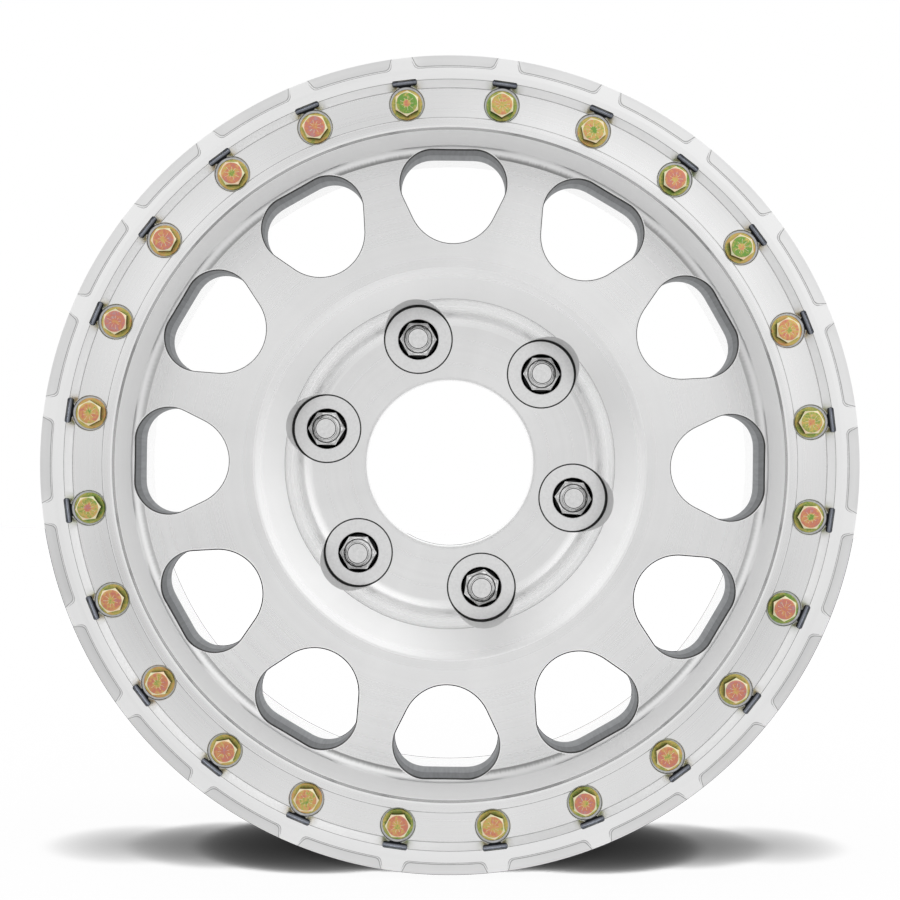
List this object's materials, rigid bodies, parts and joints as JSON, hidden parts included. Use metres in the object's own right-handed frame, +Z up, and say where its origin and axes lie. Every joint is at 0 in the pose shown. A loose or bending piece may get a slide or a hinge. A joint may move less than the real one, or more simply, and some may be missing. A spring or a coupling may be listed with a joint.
{
  "type": "forged beadlock wheel",
  "caption": "Forged aluminium off-road car wheel: round windows in a deep dished disc, a bolted ring that clamps the outer tyre bead, and closed lug nuts.",
  "frame": {"origin": "middle of the centre bore on the hub face, the back face of the hub pad", "axes": "+Y along the wheel's axis towards the car, -Y out of the street side, +Z up through the middle of a window, +X right seen from the street side"},
  "size_m": [0.4711, 0.2539, 0.4712],
  "materials": {
    "forging": "fine turned, clear",
    "ring": "fine turned, clear",
    "bolt_zinc": "yellow zinc plated",
    "washer_zinc": "yellow zinc plated",
    "insert_steel": "plain machined steel",
    "nut_chrome": "bright chrome"
  },
  "bodies": {
    "root": {"wheel_forging": "forging", "bead_ring": "ring", "ring_bolts": "bolt_zinc", "ring_washers": "washer_zinc", "thread_inserts": "insert_steel", "lug_nuts": "nut_chrome"}
  },
  "joints": []
}
